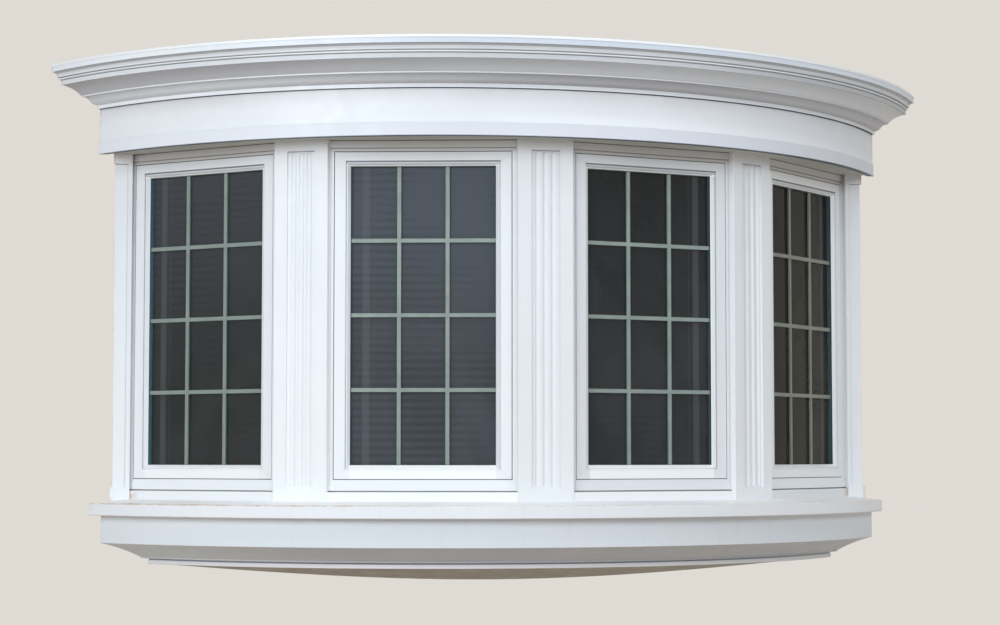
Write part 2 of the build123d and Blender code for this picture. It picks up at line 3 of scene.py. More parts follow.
import bmesh
import bpy
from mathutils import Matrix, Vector


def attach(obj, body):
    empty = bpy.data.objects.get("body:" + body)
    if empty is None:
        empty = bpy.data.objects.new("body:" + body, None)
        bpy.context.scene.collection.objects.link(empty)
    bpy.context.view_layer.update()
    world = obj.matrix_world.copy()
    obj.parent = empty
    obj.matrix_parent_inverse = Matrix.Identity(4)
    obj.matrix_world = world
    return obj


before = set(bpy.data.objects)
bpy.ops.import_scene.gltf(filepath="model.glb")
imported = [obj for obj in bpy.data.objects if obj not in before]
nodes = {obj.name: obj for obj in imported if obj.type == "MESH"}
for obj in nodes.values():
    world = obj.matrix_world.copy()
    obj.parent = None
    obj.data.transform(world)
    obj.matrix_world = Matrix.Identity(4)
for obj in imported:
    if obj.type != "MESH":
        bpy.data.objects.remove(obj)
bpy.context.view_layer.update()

# Plan of the bow, in metres and radians
BOW_Y = 0.874884
STEP = math.radians(29.0)
UNITS = 4
SASH_APOTHEM = 1.451819
GLASS_APOTHEM = 1.439819

# Half widths and levels of one window unit
FRAME_HALF = 0.298
FRAME_BASE = 0.170
FRAME_TOP = 1.240
OPENING_HALF = 0.273
OPENING_BASE = 0.203
OPENING_TOP = 1.206
SASH_HALF = 0.2705
SASH_BASE = 0.2055
SASH_TOP = 1.2035
SIGHT_HALF = 0.2225
SIGHT_BASE = 0.2475
SIGHT_TOP = 1.1615

# Widths of the members that meet at the mitres, and half the fluted field of a cover
FRAME_SIDE = 0.025
FRAME_BOTTOM = 0.033
FRAME_HEAD = 0.034
SASH_SIDE = 0.048
SASH_RAIL = 0.042
FIELD_HALF = 0.0445

# Slats drawn in the glass, and the floor
SLAT_PITCH = 0.024
FLOOR_Z = -0.95
FLOOR_SIZE = 120.0

# Lower edges of the crown's members, from the frieze up
CROWN_FOOT_Z = 1.382
OGEE_Z = 1.394
LIST_Z = 1.419
COVE_Z = 1.424
BAND_Z = 1.455
BEAD_Z = 1.470
STEP_Z = 1.478
CYMA_Z = 1.484
FASCIA_Z = 1.496

# Colours that more than one material uses
WHITE = (0.80, 0.815, 0.835)
WHITE_DIM = (0.75, 0.76, 0.78)
# Painted light: the whiter foot of frames, sashes, jambs and covers, and the base strips
FOOT_WHITE = (0.875, 0.885, 0.895)
# Painted shade under the frieze, on the covers and the frame heads
HEAD_SHADE_GREY = (0.46, 0.43, 0.42)
# Painted shade lines at the edges of sunk fields
SHADE_LINE_GREY = (0.30, 0.30, 0.32)
CREAM = (0.66, 0.50, 0.38)
# Dirt in streaks, specks and joints, and the painted shade line of the frame's side rebate
GRIME_AND_SHADE = (0.30, 0.27, 0.23)
BACKDROP = (0.74, 0.71, 0.66)


def unit_angle(i):
    return (i - (UNITS - 1) / 2) * STEP


def unit_point(turn, apothem, along, z):
    x = apothem * math.sin(turn) + along * math.cos(turn)
    y = BOW_Y - apothem * math.cos(turn) + along * math.sin(turn)
    return Vector((x, y, z))


class Mat:
    """One procedural material, built with short calls."""

    def __init__(self, name):
        self.mat = bpy.data.materials.new(name)
        self.mat.use_nodes = True
        self.nt = self.mat.node_tree
        self.bsdf = self.nt.nodes["Principled BSDF"]
        self.coord = self.nt.nodes.new("ShaderNodeTexCoord").outputs["Object"]
        self.split = None

    def link(self, value, socket):
        if hasattr(value, "is_output"):
            self.nt.links.new(value, socket)
        else:
            socket.default_value = value

    def xyz(self):
        if self.split is None:
            n = self.nt.nodes.new("ShaderNodeSeparateXYZ")
            self.nt.links.new(self.coord, n.inputs[0])
            self.split = n
        return self.split.outputs[0], self.split.outputs[1], self.split.outputs[2]

    def math(self, op, a, b=0.0):
        n = self.nt.nodes.new("ShaderNodeMath")
        n.operation = op
        self.link(a, n.inputs[0])
        self.link(b, n.inputs[1])
        return n.outputs[0]

    def vec(self, x, y, z):
        n = self.nt.nodes.new("ShaderNodeCombineXYZ")
        for value, socket in zip((x, y, z), n.inputs):
            self.link(value, socket)
        return n.outputs[0]

    def noise(self, scale, detail=3.0, rough=0.5, stretch=None, vector=None, distortion=0.0):
        n = self.nt.nodes.new("ShaderNodeTexNoise")
        v = vector if vector is not None else self.coord
        if stretch:
            m = self.nt.nodes.new("ShaderNodeMapping")
            m.inputs["Scale"].default_value = stretch
            self.nt.links.new(v, m.inputs[0])
            v = m.outputs[0]
        self.nt.links.new(v, n.inputs["Vector"])
        n.inputs["Scale"].default_value = scale
        n.inputs["Detail"].default_value = detail
        n.inputs["Roughness"].default_value = rough
        n.inputs["Distortion"].default_value = distortion
        return n.outputs[0]

    def span(self, value, low, high, out_low=0.0, out_high=1.0, smooth=True):
        """Runs from out_low to out_high while value runs from low to high."""
        n = self.nt.nodes.new("ShaderNodeMapRange")
        n.interpolation_type = "SMOOTHSTEP" if smooth else "LINEAR"
        self.link(value, n.inputs["Value"])
        n.inputs["From Min"].default_value = low
        n.inputs["From Max"].default_value = high
        n.inputs["To Min"].default_value = out_low
        n.inputs["To Max"].default_value = out_high
        return n.outputs[0]

    def between(self, value, low, high, soft=0.0005):
        """1 from low to high, with soft ends."""
        rise = self.span(value, low - soft, low + soft)
        return self.mul(rise, self.span(value, high - soft, high + soft, 1.0, 0.0))

    def line(self, value, at, half, soft):
        """1 on a thin line where value is at, fading over soft."""
        distance = self.math("ABSOLUTE", self.math("SUBTRACT", value, at))
        return self.span(distance, half, half + soft, 1.0, 0.0)

    def mix(self, fac, a, b):
        n = self.nt.nodes.new("ShaderNodeMix")
        n.data_type = "RGBA"
        self.link(fac, n.inputs[0])
        self.link(a if hasattr(a, "is_output") else (*a, 1.0), n.inputs[6])
        self.link(b if hasattr(b, "is_output") else (*b, 1.0), n.inputs[7])
        return n.outputs[2]

    def add(self, *values):
        total = values[0]
        for v in values[1:]:
            total = self.math("ADD", total, v)
        return total

    def mul(self, *values):
        total = values[0]
        for v in values[1:]:
            total = self.math("MULTIPLY", total, v)
        return total

    def normal_z(self):
        g = self.nt.nodes.new("ShaderNodeNewGeometry")
        n = self.nt.nodes.new("ShaderNodeSeparateXYZ")
        self.nt.links.new(g.outputs["Normal"], n.inputs[0])
        return n.outputs[2]

    def forward(self):
        """Distance in front of the bow's centre."""
        y = self.xyz()[1]
        return self.math("SUBTRACT", BOW_Y, y)

    def polar(self):
        """Angle and radius about the bow's centre."""
        x = self.xyz()[0]
        ahead = self.forward()
        angle = self.math("ARCTAN2", x, ahead)
        radius = self.math("SQRT", self.add(self.mul(x, x), self.mul(ahead, ahead)))
        return angle, radius

    def along(self, turn):
        """Distance along the face of the unit or cover that stands at an angle."""
        x = self.xyz()[0]
        return self.math("SUBTRACT", self.mul(x, math.cos(turn)), self.mul(self.forward(), math.sin(turn)))

    def out(self, turn):
        """Distance from the bow's centre, square to the unit that stands at an angle."""
        x = self.xyz()[0]
        return self.add(self.mul(x, math.sin(turn)), self.mul(self.forward(), math.cos(turn)))

    def bump(self, height):
        n = self.nt.nodes.new("ShaderNodeBump")
        n.inputs["Strength"].default_value = 1.0
        n.inputs["Distance"].default_value = 1.0
        self.link(height, n.inputs["Height"])
        self.nt.links.new(n.outputs[0], self.bsdf.inputs["Normal"])

    def done(self, color, roughness, **sockets):
        self.link(color, self.bsdf.inputs["Base Color"])
        self.link(roughness, self.bsdf.inputs["Roughness"])
        for key, value in sockets.items():
            self.bsdf.inputs[key.replace("_", " ")].default_value = value
        return self.mat


def assign(node, mat):
    ob = nodes[node]
    if not ob.data.materials:
        ob.data.materials.append(mat)
    for i in range(len(ob.data.materials)):
        ob.data.materials[i] = mat
    for s in ob.material_slots:
        s.material = mat


# Weather on the painted trim, with painted light and shade on it
def trim(name, tone=None, base=WHITE, dim=WHITE_DIM, seams=(), end_smear=0.035, streak=0.06):
    """Painted cellular trim: soft mottling, rain streaks, joints and sealant smears at the wall."""
    m = Mat(name)
    x, y, z = m.xyz()
    angle = m.polar()[0]
    cloud = m.span(m.noise(3.0, 4.0, 0.55), 0.32, 0.68)
    color = m.mix(m.mul(cloud, 0.55), base, dim)
    streaks = m.noise(14.0, 4.0, 0.6, vector=m.vec(m.mul(angle, 3.2), 0.0, m.mul(z, 0.35)))
    color = m.mix(m.mul(m.span(streaks, 0.52, 0.80), streak), color, GRIME_AND_SHADE)
    specks = m.noise(420.0, 2.0, 0.6)
    color = m.mix(m.mul(m.span(specks, 0.72, 0.82), 0.22), color, GRIME_AND_SHADE)
    height = m.add(m.mul(m.noise(900.0, 2.0, 0.5), 0.0001), m.mul(m.noise(5.0, 2.0, 0.5), 0.0012))
    joints = [m.line(angle, math.radians(at), 0.00022, 0.00025) for at in seams]
    if joints:
        joint = joints[0]
        for other in joints[1:]:
            joint = m.math("MAXIMUM", joint, other)
        color = m.mix(m.mul(joint, 0.16), color, GRIME_AND_SHADE)
        height = m.math("SUBTRACT", height, m.mul(joint, 0.0003))
    if end_smear:
        near = m.span(y, -end_smear, -0.001)
        blot = m.span(m.noise(70.0, 4.0, 0.65), 0.42, 0.56)
        color = m.mix(m.mul(near, blot, 0.75), color, CREAM)
    if tone:
        color = tone(m, color)
    rough = m.span(m.noise(25.0, 3.0), 0.3, 0.7, 0.34, 0.50)
    m.bump(height)
    return m.done(color, rough, Specular_IOR_Level=0.4)


def painted_light_foot(m, color, white=FOOT_WHITE):
    """Painted light: whiter paint towards the sill."""
    z = m.xyz()[2]
    return m.mix(m.span(z, 0.25, 1.05, 0.85, 0.0), color, white)


def painted_head_shade(m, color):
    """Painted shade: warm grey under the frieze, on the posts."""
    z = m.xyz()[2]
    return m.mix(m.span(z, 1.150, 1.236, 0.0, 0.50), color, HEAD_SHADE_GREY)


def sill_dirt_and_painted_light(m, color):
    """Sand coloured dirt and sealant flakes on the nosing's top edge, a pinkish lower edge, and painted
    light: lighter ends, a lighter right side and a lighter top.
    """
    z = m.xyz()[2]
    angle, radius = m.polar()
    up = m.span(m.normal_z(), 0.4, 0.8)
    # Painted light: lighter ends and right side, and a lighter top face
    ends = m.span(m.math("ABSOLUTE", angle), 0.30, 0.80, 0.0, 0.75)
    color = m.mix(ends, color, (0.935, 0.94, 0.95))
    color = m.mix(m.span(angle, 0.30, 0.75, 0.0, 0.6), color, (0.985, 0.96, 0.975))
    color = m.mix(m.mul(up, 0.8), color, (0.90, 0.885, 0.865))
    ragged = m.add(m.mul(m.noise(30.0, 4.0, 0.7), 0.030), 1.563)
    outer = m.span(m.math("SUBTRACT", radius, ragged), 0.0, 0.005)
    left = m.span(angle, -0.45, -0.25, 1.0, 0.30)
    patch = m.span(m.noise(16.0, 3.0, 0.6), 0.40, 0.60, 0.35, 1.0)
    color = m.mix(m.mul(outer, up, left, patch), color, (0.66, 0.50, 0.36))
    rim = m.mul(m.span(z, 0.1225, 0.1250), m.span(radius, 1.592, 1.594))
    flake = m.mul(m.span(m.noise(120.0, 4.0, 0.7), 0.52, 0.60), m.span(angle, -0.50, -0.20, 0.7, 0.35))
    color = m.mix(m.mul(rim, flake), color, (0.50, 0.36, 0.28))
    speck = m.span(m.noise(150.0, 5.0, 0.75), 0.62, 0.68)
    color = m.mix(m.mul(m.span(radius, 1.520, 1.560), up, speck, 0.8), color, (0.14, 0.10, 0.07))
    crumb = m.span(m.noise(210.0, 4.0, 0.7), 0.50, 0.62)
    heap = m.span(m.noise(14.0, 3.0), 0.34, 0.60, 0.15, 1.0)
    smear = m.mul(m.span(angle, -0.82, -0.60, 1.0, 0.0), up, crumb, heap)
    color = m.mix(m.mul(smear, 0.75), color, CREAM)
    lower = m.span(z, 0.0898, 0.0912, 1.0, 0.0)
    return m.mix(m.mul(lower, 0.6), color, (0.74, 0.60, 0.56))


def skirt_tone(m, color):
    """Whiter ends and a painted brown shadow line on the skirt's lower arris."""
    z = m.xyz()[2]
    angle = m.polar()[0]
    ends = m.span(m.math("ABSOLUTE", angle), 0.30, 0.80, 0.0, 0.75)
    color = m.mix(ends, color, (0.85, 0.88, 0.91))
    # Painted shadow: brown line on the lower arris
    low = m.span(z, 0.0010, 0.0024, 1.0, 0.0)
    return m.mix(m.mul(low, 0.6), color, (0.46, 0.34, 0.28))


def bed_tone(m, color):
    """Bluish painted shade in the groove, a white list, a warm painted shade on the lower edge and a lighter
    left end as painted light, on the bed moulding.
    """
    z = m.xyz()[2]
    angle = m.polar()[0]
    color = m.mix(m.span(angle, -0.85, -0.35, 0.40, 0.0), color, (0.92, 0.92, 0.92))
    groove = m.mul(m.span(z, -0.0535, -0.0522), m.span(z, -0.0472, -0.0460, 1.0, 0.0))
    color = m.mix(m.mul(groove, 0.65), color, (0.36, 0.42, 0.52))
    strip = m.mul(m.span(z, -0.0535, -0.0530, 1.0, 0.0), m.span(m.normal_z(), -0.6, -0.3))
    color = m.mix(strip, color, (0.94, 0.92, 0.925))
    foot = m.span(z, -0.0655, -0.0645, 1.0, 0.0)
    return m.mix(m.mul(foot, 0.7), color, (0.48, 0.36, 0.30))


def crown_tone(m, color):
    """Painted shade: a darker fascia, greyed members under it, and dark undercuts and undersides."""
    z = m.xyz()[2]
    angle = m.polar()[0]
    # Painted shade on the fascia, strongest in the middle
    facing = m.mul(m.span(angle, -0.85, -0.10), m.span(angle, 0.15, 0.75, 1.0, 0.45))
    fascia = m.span(z, FASCIA_Z - 0.0005, FASCIA_Z + 0.0005)
    color = m.mix(m.mul(fascia, facing, 0.95), color, (0.555, 0.60, 0.665))
    down = m.span(m.normal_z(), -0.45, -0.20, 1.0, 0.0)
    cyma = m.between(z, CYMA_Z, FASCIA_Z)
    color = m.mix(m.mul(cyma, down, 0.72), color, (0.35, 0.345, 0.365))
    # Painted shade on the step, band and ledge, light at the left and strongest at the right
    shade_by_side = m.mul(m.span(angle, -0.85, -0.10, 0.35, 1.0), m.span(angle, 0.10, 0.60, 1.0, 1.35))
    step_top = m.span(z, CYMA_Z - 0.0005, CYMA_Z + 0.0005, 1.0, 0.0)
    step = m.mul(m.span(z, STEP_Z, STEP_Z + 0.0008), step_top)
    color = m.mix(m.mul(step, shade_by_side, 0.42), color, (0.38, 0.38, 0.39))
    band_top = m.span(z, BEAD_Z - 0.0010, BEAD_Z, 1.0, 0.0)
    band = m.mul(m.span(z, BAND_Z - 0.0002, BAND_Z + 0.0004), band_top)
    color = m.mix(m.mul(band, shade_by_side, 0.56), color, (0.38, 0.38, 0.40))
    ledge = m.between(z, LIST_Z + 0.0001, COVE_Z + 0.0001, 0.0003)
    color = m.mix(m.mul(ledge, shade_by_side, 0.34), color, (0.40, 0.40, 0.41))
    over = m.mul(m.line(z, STEP_Z + 0.0005, 0.0004, 0.0008), 0.50)
    under_bead = m.mul(m.line(z, BEAD_Z - 0.0003, 0.0006, 0.0010), 0.70)
    color = m.mix(m.math("MAXIMUM", over, under_bead), color, (0.12, 0.12, 0.13))
    cove = m.between(z, COVE_Z, BAND_Z)
    color = m.mix(m.mul(cove, down, m.span(angle, -0.70, 0.60, 0.70, 0.28)), color, (0.345, 0.325, 0.345))
    heel_top = m.span(z, OGEE_Z - 0.0005, OGEE_Z + 0.0005, 1.0, 0.0)
    heel = m.mul(heel_top, m.span(z, CROWN_FOOT_Z + 0.0010, CROWN_FOOT_Z + 0.0030))
    color = m.mix(m.mul(heel, m.span(angle, -0.70, -0.10, 0.0, 0.45)), color, (0.45, 0.455, 0.47))
    ogee = m.between(z, OGEE_Z, LIST_Z)
    # Painted shade on the ogee's underside, light at the left
    ogee_shade = m.mul(m.span(angle, -0.80, 0.10, 0.34, 0.74), m.span(angle, 0.15, 0.60, 1.0, 0.85))
    color = m.mix(m.mul(ogee, down, ogee_shade), color, (0.30, 0.285, 0.30))
    # Painted shade on faces that look straight down, darkest under the foot
    under = m.span(m.normal_z(), -0.985, -0.96, 1.0, 0.0)
    color = m.mix(m.mul(under, 0.62), color, (0.22, 0.22, 0.23))
    foot = m.mul(under, m.span(z, CROWN_FOOT_Z + 0.0002, CROWN_FOOT_Z + 0.0010, 1.0, 0.0))
    return m.mix(foot, color, (0.08, 0.09, 0.11))


def frieze_tone(m, color):
    """Painted shade: pinkish grey in soft patches under the crown and darker towards the middle and right,
    painted light low on the frieze, and a dark joint.
    """
    z = m.xyz()[2]
    angle = m.polar()[0]
    color = m.mix(m.span(angle, -0.50, -0.05, 0.0, 0.22), color, (0.62, 0.64, 0.69))
    patch = m.span(m.noise(5.0, 3.0, 0.6), 0.35, 0.65, 0.55, 1.0)
    color = m.mix(m.mul(m.span(z, 1.325, 1.382, 0.0, 0.50), patch), color, (0.55, 0.52, 0.53))
    # Painted light low on the frieze, in the middle and right
    painted_light_low = m.mul(m.span(z, 1.285, 1.325, 1.0, 0.0), m.span(angle, -0.30, 0.10, 0.0, 0.45))
    color = m.mix(painted_light_low, color, (0.90, 0.915, 0.94))
    # Painted shade just under the crown's foot
    color = m.mix(m.span(z, 1.3700, 1.3790, 0.0, 0.30), color, (0.40, 0.40, 0.41))
    joint = m.mul(m.span(z, 1.3784, 1.3800), m.span(angle, -0.95, -0.60, 0.60, 0.92))
    return m.mix(joint, color, (0.07, 0.08, 0.09))


def band_tone(m, color):
    """Painted shade in slate on the lower arris and underside of the frieze band, which is also darker
    towards the middle and right.
    """
    z = m.xyz()[2]
    angle = m.polar()[0]
    color = m.mix(m.span(angle, -0.85, -0.25, 0.0, 0.42), color, (0.56, 0.575, 0.645))
    arris = m.mul(m.span(z, 1.2376, 1.2400, 1.0, 0.0), m.span(angle, -0.85, -0.45, 0.45, 0.92))
    color = m.mix(arris, color, (0.09, 0.115, 0.145))
    under = m.span(m.normal_z(), -0.9, -0.6, 1.0, 0.0)
    return m.mix(under, color, (0.04, 0.055, 0.075))


def jamb_tone(m, color):
    """Painted shade lines round the sunk field, painted light at the foot, painted grey shade on the head,
    and a thin smear of sealant at the wall.
    """
    x, y, z = m.xyz()
    outer = m.math("ABSOLUTE", x)
    color = painted_head_shade(m, painted_light_foot(m, color))
    # Painted shade lines under the field's top and beside it
    below = m.mul(m.line(z, 1.2064, 0.0010, 0.0010), m.span(outer, 1.2240, 1.2250))
    color = m.mix(m.mul(below, 0.75), color, SHADE_LINE_GREY)
    beside = m.mul(m.line(outer, 1.2246, 0.0010, 0.0012), m.span(z, 1.2060, 1.2075, 1.0, 0.0))
    color = m.mix(m.mul(beside, m.span(z, 0.17, 0.19), 0.30), color, SHADE_LINE_GREY)
    edge = m.add(m.mul(m.noise(60.0, 4.0, 0.7), 0.006), 1.2590)
    near = m.span(m.math("SUBTRACT", outer, edge), 0.0, 0.0015)
    blot = m.span(m.noise(22.0, 3.0, 0.6), 0.38, 0.56)
    return m.mix(m.mul(near, blot, 0.55), color, CREAM)


def cover_tone(turn, shade):
    """Painted light at the foot, painted grey shade on the head, and a painted shade line over the fluted
    field of one cover.
    """
    def tone(m, color):
        color = painted_head_shade(m, painted_light_foot(m, color, tuple(shade * v for v in FOOT_WHITE)))
        side = m.math("ABSOLUTE", m.along(turn))
        field = m.span(side, FIELD_HALF - 0.0005, FIELD_HALF + 0.0005, 1.0, 0.0)
        head = m.line(m.xyz()[2], 1.2062, 0.0012, 0.0012)
        return m.mix(m.mul(field, head, 0.75), color, SHADE_LINE_GREY)
    return tone


# Window units
def mitres(m, side, half, low, high, wide, bottom, top):
    """1 on the welded mitre lines of a ring whose members have these widths."""
    z = m.xyz()[2]
    from_side = m.math("DIVIDE", m.math("SUBTRACT", half, side), wide)
    from_low = m.math("DIVIDE", m.math("SUBTRACT", z, low), bottom)
    from_high = m.math("DIVIDE", m.math("SUBTRACT", high, z), top)
    lower = m.line(from_side, from_low, 0.006, 0.010)
    upper = m.line(from_side, from_high, 0.006, 0.010)
    return m.mul(m.math("MAXIMUM", lower, upper), m.span(from_side, 1.02, 1.06, 1.0, 0.0))


def vinyl_start(m, shade):
    """Soft mottling with painted light at the foot, and the unit's painted light and shade."""
    cloud = m.span(m.noise(3.0, 2.0, 0.5), 0.3, 0.7)
    color = m.mix(m.mul(cloud, 0.4), WHITE, (0.76, 0.77, 0.79))
    amount, toward = shade
    return m.mix(amount, painted_light_foot(m, color), toward)


def vinyl_end(m, color, mitre, tone):
    """Dust on the ledges, the mitres, then the tone of the piece, its bump and its gloss."""
    ledge = m.mul(m.span(m.normal_z(), 0.3, 0.8), m.span(m.noise(60.0, 4.0), 0.40, 0.65))
    color = m.mix(m.mul(ledge, 0.25), color, (0.50, 0.44, 0.36))
    color = tone(m, m.mix(m.mul(mitre, 0.22), color, GRIME_AND_SHADE))
    height = m.mul(m.noise(4.0, 1.0), 0.0008)
    m.bump(m.math("SUBTRACT", height, m.mul(mitre, 0.0003)))
    rough = m.span(m.noise(12.0, 2.0), 0.3, 0.7, 0.28, 0.36)
    return m.done(color, rough, Specular_IOR_Level=0.4)


def frame_vinyl(name, turn, shade, painted_light_edge):
    """Extruded frame of one unit, with painted shade lines in its rebate and painted shade on its head
    member.
    """
    m = Mat(name)
    along = m.along(turn)
    side = m.math("ABSOLUTE", along)
    color = vinyl_start(m, shade)
    # Painted light on the first frame's left strip, which lies in shade beside the jamb cover
    if painted_light_edge:
        color = m.mix(m.span(along, -0.2835, -0.2825, 1.0, 0.0), color, (0.95, 0.955, 0.96))

    def tone(m, color):
        z = m.xyz()[2]
        # Painted shade under the frieze, darkest at the head
        color = m.mix(m.span(z, 1.160, OPENING_TOP, 0.0, 0.30), color, HEAD_SHADE_GREY)
        head = m.span(z, OPENING_TOP - 0.0015, OPENING_TOP + 0.0005)
        color = m.mix(m.mul(head, 0.46), color, (0.43, 0.395, 0.375))
        color = m.mix(m.mul(m.line(z, 1.2155, 0.0009, 0.0010), 0.75), color, (0.16, 0.145, 0.135))
        # Painted shade line along the side rebate
        color = m.mix(m.mul(m.line(side, 0.2825, 0.0006, 0.0008), 0.22), color, GRIME_AND_SHADE)
        return m.mix(m.mul(m.span(z, 1.2366, 1.2380), 0.85), color, (0.10, 0.09, 0.08))

    mitre = mitres(m, side, FRAME_HALF, FRAME_BASE, FRAME_TOP, FRAME_SIDE, FRAME_BOTTOM, FRAME_HEAD)
    return vinyl_end(m, color, mitre, tone)


def sash_vinyl(name, turn, shade):
    """Extruded sash of one unit, with painted shade under the frieze, in the quirk round its glazing bead
    and on the bead, and a painted highlight on the arris at the glass.
    """
    m = Mat(name)
    side = m.math("ABSOLUTE", m.along(turn))
    color = vinyl_start(m, shade)

    def tone(m, color):
        z = m.xyz()[2]
        color = m.mix(m.span(z, 1.130, SASH_TOP, 0.0, 0.28), color, (0.46, 0.45, 0.45))
        inner = m.span(side, 0.2362, 0.2376, 1.0, 0.0)
        quirk = m.mul(m.line(z, 1.1756, 0.0012, 0.0010), inner)
        color = m.mix(m.mul(quirk, 0.92), color, (0.13, 0.15, 0.18))
        bead = m.mul(m.span(z, 1.1745, 1.1755, 1.0, 0.0), m.span(z, 1.1605, 1.1645), inner)
        color = m.mix(m.mul(bead, 0.25), color, (0.40, 0.41, 0.42))
        arris = m.mul(m.span(z, 1.1640, 1.1655, 1.0, 0.0), m.span(z, 1.1605, 1.1612), inner)
        edge = m.mul(m.span(side, 0.2236, 0.2246, 1.0, 0.0), m.span(z, 1.1605, 1.1625, 1.0, 0.0))
        color = m.mix(m.mul(m.math("MAXIMUM", arris, edge), 0.8), color, (0.94, 0.945, 0.95))
        rails = m.mul(m.span(z, 0.2335, 0.2345), m.span(z, 1.1745, 1.1765, 1.0, 0.0))
        sides = m.mul(m.line(side, 0.2366, 0.0008, 0.0010), rails)
        return m.mix(m.mul(sides, 0.30), color, (0.30, 0.32, 0.36))

    mitre = mitres(m, side, SASH_HALF, SASH_BASE, SASH_TOP, SASH_SIDE, SASH_RAIL, SASH_RAIL)
    return vinyl_end(m, color, mitre, tone)


def glass(name, turn, k, tones, level):
    """Clear outer pane and dark inner pane of one unit, with faint cloud, slats and hanging folds: the dark
    pane is painted shade of the room behind, and its faint cloud is a painted reflection.
    """
    m = Mat(name)
    z = m.xyz()[2]
    along = m.along(turn)
    outer = m.span(m.out(turn), GLASS_APOTHEM - 0.009, GLASS_APOTHEM - 0.008)
    base, deep, high = tones
    drift = m.vec(m.mul(along, 7.0), 3.0 * k, m.mul(z, 3.4))
    cloud = m.noise(1.0, 4.0, 0.55, vector=drift, distortion=0.5)
    tone = m.mix(m.span(cloud, 0.38, 0.66), base, deep)
    rise = m.span(m.add(z, m.mul(cloud, 0.5)), 0.75, 1.45)
    tone = m.mix(m.mul(rise, 0.8), tone, high)
    if k == UNITS - 1:
        # Painted shade over the left of the last pane
        tone = m.mix(m.span(along, -0.21, 0.05, 0.75, 0.0), tone, (0.006, 0.006, 0.005))
    slat = m.line(m.math("FRACT", m.mul(z, 1.0 / SLAT_PITCH)), 0.5, 0.10, 0.25)
    slat = m.mul(slat, m.span(m.noise(3.0, 2.0), 0.35, 0.65))
    tone = m.mix(m.mul(slat, 0.22), tone, (0.008, 0.009, 0.010))
    edge = m.mul(along, 1.0 if turn > 0 else -1.0)
    fold = m.line(edge, 0.176, 0.008, 0.006)
    tone = m.mix(m.mul(fold, 0.30), tone, (0.16, 0.17, 0.19))
    cord = m.line(edge, 0.150, 0.0010, 0.0008)
    tone = m.mix(m.mul(cord, 0.25), tone, (0.16, 0.11, 0.06))
    color = m.mix(outer, tone, (0.05, 0.06, 0.06))
    alpha = m.span(outer, 0.0, 1.0, 0.975, 0.05, smooth=False)
    m.link(alpha, m.bsdf.inputs["Alpha"])
    film = m.span(m.noise(2.5, 2.0, 0.5), 0.35, 0.70, 0.015, 0.03)
    return m.done(color, film, IOR=1.5, Specular_IOR_Level=level)


def grille(name, turn):
    """Flat painted bars in a metal spacer with a darker edge."""
    m = Mat(name)
    z = m.xyz()[2]
    along = m.along(turn)
    rim = m.span(m.math("ABSOLUTE", along), SIGHT_HALF - 0.0013, SIGHT_HALF - 0.0009)
    low = m.span(z, SIGHT_BASE + 0.0008, SIGHT_BASE + 0.0012, 1.0, 0.0)
    high = m.span(z, SIGHT_TOP - 0.0012, SIGHT_TOP - 0.0008)
    cloud = m.span(m.noise(20.0, 4.0), 0.3, 0.7)
    bars = m.mix(cloud, (0.31, 0.37, 0.335), (0.265, 0.32, 0.29))
    if turn > STEP:
        bars = m.mix(0.6, bars, (0.28, 0.28, 0.21))
    brush = m.noise(1.0, 3.0, 0.6, vector=m.vec(m.mul(along, 300.0), 0.0, m.mul(z, 40.0)))
    bars = m.mix(m.mul(m.span(brush, 0.4, 0.7), 0.12), bars, (0.22, 0.26, 0.24))
    color = m.mix(m.math("MAXIMUM", low, high), bars, (0.10, 0.12, 0.13))
    color = m.mix(rim, color, (0.06, 0.20, 0.27) if turn < 0 else (0.02, 0.075, 0.11))
    m.bump(m.mul(brush, 0.0002))
    return m.done(color, m.span(cloud, 0.0, 1.0, 0.40, 0.55), Metallic=0.1)


# Boards, timber and roof
def painted_board(name, base, dark):
    """Brushed paint over boards, with faint grain showing through."""
    m = Mat(name)
    grain = m.noise(1.0, 6.0, 0.6, stretch=(3.0, 60.0, 60.0), distortion=0.4)
    color = m.mix(m.mul(m.span(grain, 0.35, 0.7), 0.5), base, dark)
    scuff = m.span(m.noise(45.0, 5.0, 0.7), 0.62, 0.75)
    color = m.mix(m.mul(scuff, 0.25), color, GRIME_AND_SHADE)
    m.bump(m.add(m.mul(grain, 0.0006), m.mul(m.noise(500.0), 0.0001)))
    rough = m.span(m.noise(20.0), 0.3, 0.7, 0.40, 0.60)
    return m.done(color, rough, Specular_IOR_Level=0.2)


def timber(name, stretch, plies=False):
    """Sawn softwood, or plywood with its plies showing on the edges."""
    m = Mat(name)
    z = m.xyz()[2]
    rings = m.noise(1.0, 6.0, 0.65, stretch=stretch, distortion=1.2)
    color = m.mix(m.span(rings, 0.35, 0.65), (0.56, 0.39, 0.22), (0.40, 0.25, 0.13))
    fibre = m.noise(1.0, 3.0, 0.6, stretch=tuple(12.0 * s for s in stretch))
    color = m.mix(m.mul(m.span(fibre, 0.45, 0.75), 0.35), color, (0.24, 0.15, 0.08))
    knots = m.span(m.noise(7.0, 1.0, 0.4), 0.70, 0.76)
    color = m.mix(m.mul(knots, 0.6), color, (0.16, 0.08, 0.04))
    if plies:
        ply = m.line(m.math("FRACT", m.mul(z, 333.0)), 0.5, 0.2, 0.1)
        edge = m.span(m.math("ABSOLUTE", m.normal_z()), 0.3, 0.5, 1.0, 0.0)
        color = m.mix(m.mul(ply, edge, 0.5), color, (0.22, 0.13, 0.07))
    m.bump(m.add(m.mul(rings, 0.0006), m.mul(fibre, 0.0004)))
    return m.done(color, m.span(rings, 0.3, 0.7, 0.60, 0.80))


